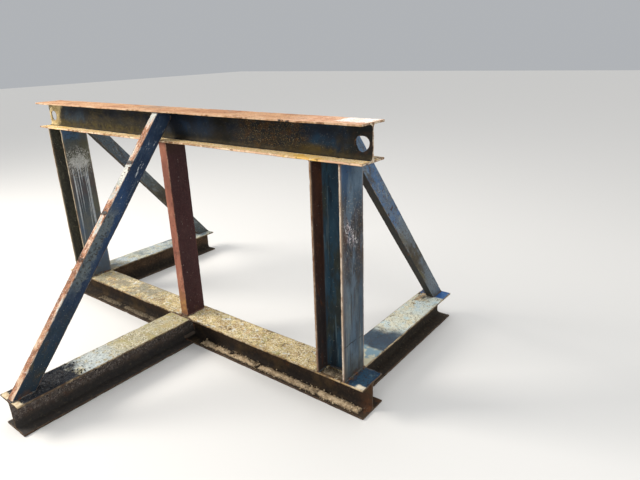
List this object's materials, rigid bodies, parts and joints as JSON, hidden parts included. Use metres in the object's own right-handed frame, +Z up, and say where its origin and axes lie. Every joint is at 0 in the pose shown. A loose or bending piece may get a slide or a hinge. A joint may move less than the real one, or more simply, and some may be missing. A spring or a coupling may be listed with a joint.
{
  "type": "steel girder trestle",
  "caption": "Welded trestle of rolled steel sections: a broad-flange girder on columns and a post, above a floor frame of beams with sloping channel braces.",
  "frame": {"origin": "On the floor, under the middle of the top girder: the bottom centre of the bounding box.", "axes": "X runs along the top girder, -Y is the side with the single front leg, +Y the side with the two back legs, +Z is up."},
  "size_m": [2.4, 2.01, 1.272],
  "materials": {
    "top_girder_paint": "weathered dark blue paint, rusty top face",
    "right_column_paint": "weathered blue paint with brown rust stains",
    "left_column_paint": "weathered blue-grey paint with pale drips",
    "middle_post_paint": "dull red-oxide primer",
    "base_beam_paint": "rusty, lichen and grime on top",
    "front_outrigger_paint": "rusty, lichen and grime on top",
    "right_back_outrigger_paint": "pale blue paint, lichen and rust",
    "left_back_outrigger_paint": "worn blue paint, lichen and rust",
    "front_brace_paint": "chipped navy paint, rusty outer face",
    "right_back_brace_paint": "weathered mid-blue paint",
    "left_back_brace_paint": "weathered mid-blue paint"
  },
  "bodies": {
    "root": {"top_girder": "top_girder_paint", "right_column": "right_column_paint", "left_column": "left_column_paint", "middle_post": "middle_post_paint", "base_beam": "base_beam_paint", "front_outrigger": "front_outrigger_paint", "right_back_outrigger": "right_back_outrigger_paint", "left_back_outrigger": "left_back_outrigger_paint", "front_brace": "front_brace_paint", "right_back_brace": "right_back_brace_paint", "left_back_brace": "left_back_brace_paint"}
  },
  "joints": []
}
